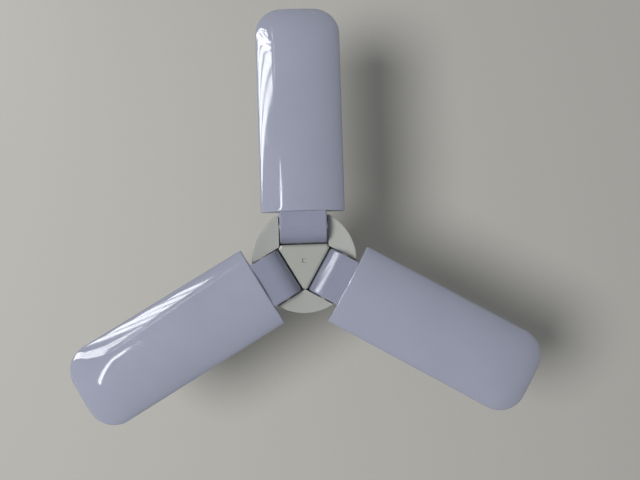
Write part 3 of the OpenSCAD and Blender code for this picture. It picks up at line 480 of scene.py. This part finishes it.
def makeCapRule(sizes):
    tree, given, calc = newRule("capRule", sizes)
    mesh, across, along = evenGrid(tree, given)
    turn = calc("MULTIPLY", across, math.pi)
    up = calc("MULTIPLY", along, given["Length"])
    turns = calc("DIVIDE", calc("SUBTRACT", up, given["Lead In"]), given["Pitch"])
    winding = calc("SUBTRACT", turn, calc("MULTIPLY", turns, math.tau))
    # the thread grows after the foot and dies out below the skirt, each over its share of the pitch
    threadEnd = calc("SUBTRACT", given["Length"], given["Skirt"])
    full = calc("MULTIPLY", given["Pitch"], given["Thread In"])
    come = spread(tree, up, given["Lead In"], full, kind="SMOOTHSTEP")
    fade = calc("SUBTRACT", threadEnd, calc("MULTIPLY", given["Pitch"], given["Thread Out"]))
    leave = spread(tree, up, fade, threadEnd, 1.0, 0.0, "SMOOTHSTEP")
    wave = calc("MULTIPLY_ADD", calc("COSINE", winding), 0.5, 0.5)
    depth = calc("MULTIPLY", calc("SUBTRACT", given["Crest"], given["Root"]), calc("MULTIPLY", come, leave))
    radius = calc("MULTIPLY_ADD", depth, wave, given["Root"])
    foot = spread(tree, up, 0.0, given["Lead In"], given["Crimp"], 0.0, "SMOOTHSTEP")
    radius = calc("SUBTRACT", radius, foot)
    flareFrom = calc("SUBTRACT", threadEnd, given["Flare Before"])
    flareTo = calc("ADD", threadEnd, given["Flare After"])
    flare = spread(tree, up, flareFrom, flareTo, kind="SMOOTHSTEP")
    radius = calc("ADD", radius, calc("MULTIPLY", flare, calc("SUBTRACT", given["Skirt Radius"], given["Root"])))
    x = calc("MULTIPLY", radius, calc("COSINE", turn))
    y = calc("MULTIPLY", radius, calc("SINE", turn))
    tube = putPoints(tree, mesh, x, y, calc("ADD", given["Foot"], up))
    tube = newNode(tree, "GeometryNodeMergeByDistance", {"Geometry": tube, "Distance": given["Weld"]})["Geometry"]
    return endRule(tree, given, tube)


# LED packages: columns and rows of one small block, each with a lens on top
chips = {
    "lens": 0.72, "lensRise": 0.06 * mm, "edge": 0.05 * mm,
    "rule": {"Columns": 3, "Rows": 9, "Column Pitch": 11 * mm, "Width": 2.8 * mm, "Length": 3.5 * mm,
             "Height": 0.8 * mm},
}


def makeRowsRule(sizes):
    tree, given, calc = newRule("rowsRule", sizes)
    across = calc("MULTIPLY", given["Column Pitch"], calc("SUBTRACT", given["Columns"], 1.0))
    along = calc("MULTIPLY", given["Row Pitch"], calc("SUBTRACT", given["Rows"], 1.0))
    grid = gridOf(tree, across, along, given["Columns"], given["Rows"])
    place = pointPlace(tree)
    y = calc("ADD", place["Y"], calc("MULTIPLY_ADD", along, 0.5, given["First Y"]))
    z = calc("MULTIPLY_ADD", given["Height"], 0.5, given["Base Z"])
    points = putPoints(tree, grid, place["X"], y, z)
    size = together(tree, given["Width"], given["Length"], given["Height"])
    block = newNode(tree, "GeometryNodeMeshCube", {"Size": size})["Mesh"]
    copies = newNode(tree, "GeometryNodeInstanceOnPoints", {"Points": points, "Instance": block})["Instances"]
    return endRule(tree, given, copies)


def turnedTo(piece, n):
    piece.data.transform(Matrix.Rotation(math.tau / len(leaves) * (n - 1), 4, "Z"))
    return piece


def fixNormals(mesh, weld=0.0):
    work = bmesh.new()
    work.from_mesh(mesh)
    if weld:
        bmesh.ops.remove_doubles(work, verts=work.verts, dist=weld)
    bmesh.ops.recalc_face_normals(work, faces=work.faces)
    work.to_mesh(mesh)
    work.free()


def smoothBy(mesh, degrees):
    mesh.shade_smooth()
    mesh.set_sharp_from_angle(angle=math.radians(degrees))


def finished(piece, kind, **settings):
    # applies a modifier and leaves a plain mesh on the piece
    modifier = piece.modifiers.new(kind, kind)
    for label, value in settings.items():
        setattr(modifier, label, value)
    mesh = meshOf(piece)
    piece.modifiers.clear()
    old = piece.data
    piece.data = mesh
    bpy.data.meshes.remove(old)
    return piece


def walled(piece, sizes, weld=0.0):
    # a shell gets its wall inwards
    fixNormals(piece.data, weld)
    smoothBy(piece.data, sizes["smooth"])
    finished(piece, "SOLIDIFY", thickness=sizes["wall"], offset=-1.0)
    smoothBy(piece.data, sizes["smooth"])
    return piece


def bodyOf(node):
    bodies = frame["record"]["behaviour"]["bodies"]
    return next(body for body, members in bodies.items() if node in members)


def standFor(piece, node):
    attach(piece, bodyOf(node))
    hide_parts(node)
    return piece


def makeDiffusers():
    low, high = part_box("leaf_diffuser_1")
    sizes = {**diffuser["rule"], "Start": low.y, "End": high.y - diffuser["tipInset"], "Tip Width": high.x - low.x,
             "Edge Height": high.z - diffuser["rule"]["Crown Height"], "Skirt Bottom": low.z}
    rule = makeDiffuserRule(sizes)
    for n in leaves:
        piece = growPiece(f"leafDiffuser{n}", rule, sizes, finishes["milky_diffuser"])
        walled(piece, diffuser, diffuser["weld"])
        standFor(turnedTo(piece, n), f"leaf_diffuser_{n}")


def makeScrewCap():
    low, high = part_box("screw_cap")
    sizes = {**capShell["rule"], "Foot": low.z, "Length": high.z - low.z}
    piece = growPiece("screwCap", makeCapRule(sizes), sizes, finishes["cap_metal"])
    standFor(walled(piece, capShell), "screw_cap")


def makeLedChips():
    low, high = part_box("led_chips_1")
    rise = chips["lensRise"]
    sizes = dict(chips["rule"])
    sizes["Row Pitch"] = (high.y - low.y - sizes["Length"]) / (sizes["Rows"] - 1)
    sizes["First Y"] = low.y + sizes["Length"] / 2
    body = {**sizes, "Base Z": low.z, "Height": sizes["Height"] - rise}
    lens = {**sizes, "Base Z": low.z + sizes["Height"] - 2 * rise, "Width": sizes["Width"] * chips["lens"],
            "Length": sizes["Length"] * chips["lens"], "Height": 2 * rise}
    rule = makeRowsRule(body)
    for n in leaves:
        piece = growPiece(f"ledChips{n}", rule, body, finishes["terminal_plastic"])
        tops = growPiece(f"ledLens{n}", rule, lens, finishes["led_phosphor"])
        joined = bmesh.new()
        joined.from_mesh(piece.data)
        bodyFaces = len(joined.faces)
        joined.from_mesh(tops.data)
        joined.faces.ensure_lookup_table()
        for face in joined.faces[bodyFaces:]:
            face.material_index = 1
        joined.to_mesh(piece.data)
        joined.free()
        piece.data.materials.clear()
        for finish in ("terminal_plastic", "led_phosphor"):
            piece.data.materials.append(finishes[finish])
        bpy.data.objects.remove(tops)
        finished(piece, "BEVEL", width=chips["edge"], segments=1, limit_method="ANGLE")
        standFor(turnedTo(piece, n), f"led_chips_{n}")


makeDiffusers()
print("diffusers made")
makeScrewCap()
makeLedChips()
print("cap and LED packages made")

# how wide each node's edges are rounded, and how its faces are welded and shaded, with angles in degrees
rounded = {
    "edges": {"front_plate": 0.6 * mm, "hub_body": 0.2 * mm, "driver_housing": 0.3 * mm, "cap_insulator": 0.35 * mm,
              "centre_contact": 0.15 * mm, "hub_screws": 0.1 * mm},
    "leafEdges": {"petal_cap": 0.4 * mm, "leaf_arm": 0.25 * mm, "leaf_tray": 0.25 * mm, "arm_screws": 0.08 * mm,
                  "board_screws": 0.08 * mm},
    "weld": 0.002 * mm, "flat": 0.5, "smooth": 35, "plateSmooth": 18, "sharp": 40, "steps": 2,
}


def camel(node):
    words = node.split("_")
    return words[0] + "".join(word.capitalize() for word in words[1:])


def dressed(node, edge):
    # a welded copy of a node with its sharp edges rounded, which then stands for it
    mesh = frame["nodes"][node].data.copy()
    work = bmesh.new()
    work.from_mesh(mesh)
    bmesh.ops.remove_doubles(work, verts=work.verts, dist=rounded["weld"])
    bmesh.ops.dissolve_limit(work, angle_limit=math.radians(rounded["flat"]), verts=work.verts, edges=work.edges)
    work.to_mesh(mesh)
    work.free()
    mesh.materials.clear()
    mesh.materials.append(finishes[slotOf[node]])
    smoothBy(mesh, rounded["plateSmooth"] if node == "front_plate" else rounded["smooth"])
    piece = newPiece(camel(node), mesh)
    finished(piece, "BEVEL", width=edge, segments=rounded["steps"], limit_method="ANGLE",
             angle_limit=math.radians(rounded["sharp"]), use_clamp_overlap=True, harden_normals=True,
             miter_outer="MITER_ARC")
    return standFor(piece, node)


edges = dict(rounded["edges"])
for n in leaves:
    edges.update({f"{kind}_{n}": edge for kind, edge in rounded["leafEdges"].items()})
for node, edge in edges.items():
    dressed(node, edge)
print("dressed nodes:", len(edges))

# the nodes that stay as they are get their finish; the washers share the pins' slot, but are painted dark as painted
# shade in the hinge gaps
replaced = {"screw_cap", *edges, *[f"{kind}_{n}" for n in leaves for kind in ("leaf_diffuser", "led_chips")]}
for node, item in frame["nodes"].items():
    if node not in replaced:
        for slot in item.material_slots:
            slot.material = paintedShadeWashers if node.startswith("friction_washers") else finishes[slotOf[node]]
print("plain nodes finished:", len(frame["nodes"]) - len(replaced))

room = {"light": (0.96, 0.98, 1.0, 1), "strength": 0.26, "pale": paint(196, 195, 192)}


def seenOrMirrored(tree):
    # 1 for what the camera sees and what gloss and clear parts show
    path = newNode(tree, "ShaderNodeLightPath")
    mirrored = maths(tree, "MAXIMUM", path["Is Glossy Ray"], path["Is Transmission Ray"])
    return maths(tree, "MAXIMUM", path["Is Camera Ray"], mirrored)


def makeWorld():
    world = bpy.data.worlds.new("room")
    bpy.context.scene.world = world
    world.use_nodes = True
    tree = world.node_tree
    light = tree.nodes["Background"]
    light.inputs["Color"].default_value = room["light"]
    light.inputs["Strength"].default_value = room["strength"]
    pale = newNode(tree, "ShaderNodeBackground", {"Color": room["pale"]})[0]
    shown = mixShaders(tree, seenOrMirrored(tree), light.outputs[0], pale)
    tree.links.new(shown, tree.nodes["World Output"].inputs["Surface"])


# the reach and the fades are metres from the axis, and the fill is a share of the pale background
stage = {"reach": 5.0, "sides": 96, "fadeFrom": 0.25, "fadeTo": 0.5, "fill": 0.6, "pale": paint(184, 183, 179),
         "speckle": paint(172, 171, 167), "speckleScale": 900.0, "speckleRange": (0.3, 0.7), "speckleShare": 0.3,
         "rough": 0.55, "relief": 0.05 * mm}


def makeFloor():
    work = bmesh.new()
    bmesh.ops.create_circle(work, cap_ends=True, segments=stage["sides"], radius=stage["reach"])
    mesh = bpy.data.meshes.new("floor")
    work.to_mesh(mesh)
    work.free()
    material, tree, shader = newFinish("paleTable", Roughness=stage["rough"])
    mesh.materials.append(material)
    place = objectPlace(tree)
    speckle = noise(tree, place, stage["speckleScale"], detail=4.0, rough=0.6)
    share = spread(tree, speckle, *stage["speckleRange"], 0.0, stage["speckleShare"])
    colour = blendColour(tree, share, stage["pale"], stage["speckle"])
    tree.links.new(colour, shader.inputs["Base Color"])
    addBump(tree, shader, speckle, stage["relief"])
    # far from the object it turns into the pale background
    where = apart(tree, place)
    squares = [maths(tree, "MULTIPLY", where[axis], where[axis]) for axis in ("X", "Y")]
    radius = maths(tree, "SQRT", maths(tree, "ADD", *squares))
    away = spread(tree, radius, stage["fadeFrom"], stage["fadeTo"], kind="SMOOTHSTEP")
    pale = newNode(tree, "ShaderNodeEmission", {"Color": room["pale"]})[0]
    # and it gives the undersides a plain soft fill
    fill = maths(tree, "MULTIPLY", newNode(tree, "ShaderNodeLightPath")["Is Diffuse Ray"], stage["fill"])
    faded = mixShaders(tree, maths(tree, "MULTIPLY_ADD", away, seenOrMirrored(tree), fill), shader.outputs[0], pale)
    # from below it is clear
    under = newNode(tree, "ShaderNodeNewGeometry")["Backfacing"]
    shown = mixShaders(tree, under, faded, newNode(tree, "ShaderNodeBsdfTransparent")[0])
    tree.links.new(shown, tree.nodes["Material Output"].inputs["Surface"])
    floor = newPiece("floor", mesh)


def newLamp(name, shape, colour, size):
    lamp = bpy.data.lights.new(name, "AREA")
    lamp.shape = shape
    lamp.color = colour
    lamp.size = size
    item = placed(bpy.data.objects.new(name, lamp))
    item.visible_camera = False
    return lamp, item


key = {"place": (-0.62, -0.1, 1.2), "target": (0.0, 0.0, 0.05), "size": 0.56, "power": 13.2,
       "colour": (1.0, 0.99, 0.97)}


def makeKey():
    # the soft light from the left, which gives the shades and the shadow
    lamp, item = newLamp("key", "DISK", key["colour"], key["size"])
    lamp.energy = key["power"]
    item.location = key["place"]
    item.rotation_mode = "QUATERNION"
    item.rotation_quaternion = (Vector(key["target"]) - Vector(key["place"])).to_track_quat("-Z", "Y")
    item.visible_glossy = False


# each strip: its distance in metres, then as shares of that distance where its foot and its head stand
# across and up, and its width
window = {"across": 0.03, "base": 0.09, "brightness": 9.0, "colour": (0.97, 0.985, 1.0),
          "strips": ((1.1, (0.13, 0.02), (0.50, 1.25), 0.055), (1.1, (0.205, 0.02), (0.585, 1.25), 0.06),
                     (1.1, (0.28, 0.02), (0.675, 1.25), 0.06), (1.1, (0.35, 0.02), (0.765, 1.25), 0.05),
                     (0.45, (0.561, 0.0), (0.688, 1.055), 0.068), (0.45, (0.663, 0.10), (0.798, 1.055), 0.076),
                     (0.45, (0.772, 0.253), (0.916, 1.055), 0.084), (0.45, (0.916, 0.42), (1.042, 1.013), 0.084),
                     (1.1, (0.54, 1.45), (1.38, 1.43), 0.02), (0.6, (-0.50, 1.27), (0.33, 1.81), 0.17))}


def makeWindow():
    # leaning strips of daylight on the left, which give the streaks on the domes and the barrels
    for number, (side, foot, head, width) in enumerate(window["strips"]):
        run = Vector((0, head[0] - foot[0], head[1] - foot[1])) * side
        lamp, item = newLamp(f"strip{number}", "RECTANGLE", window["colour"], width * side)
        lamp.size_y = run.length
        lamp.energy = window["brightness"] * math.pi * lamp.size * lamp.size_y
        middle = Vector((-side, window["across"] + side * (foot[0] + head[0]) / 2,
                         window["base"] + side * (foot[1] + head[1]) / 2))
        up = run.normalized()
        back = Vector((-1, 0, 0))
        turn = Matrix((up.cross(back), up, back)).transposed().to_4x4()
        item.matrix_world = Matrix.Translation(middle) @ turn
        item.visible_diffuse = False


# where the camera stands, which ways its back and its top point, and its lens in mm
view = {"place": (-0.0018, -0.0086, 0.442), "back": (-0.0283, -0.053, 0.9982), "up": (0.0314, 0.9981, 0.0539),
        "lens": 39.375}


def makeCamera():
    data = bpy.data.cameras.new("camera")
    data.lens = view["lens"]
    camera = placed(bpy.data.objects.new("camera", data))
    back = Vector(view["back"]).normalized()
    right = Vector(view["up"]).cross(back).normalized()
    turn = Matrix((right, back.cross(right), back)).transposed().to_4x4()
    camera.matrix_world = Matrix.Translation(view["place"]) @ turn
    bpy.context.scene.camera = camera


makeFloor()
makeKey()
makeWindow()
makeWorld()
makeCamera()
bpy.context.scene.view_settings.view_transform = "Standard"
print("stage, light and camera made")
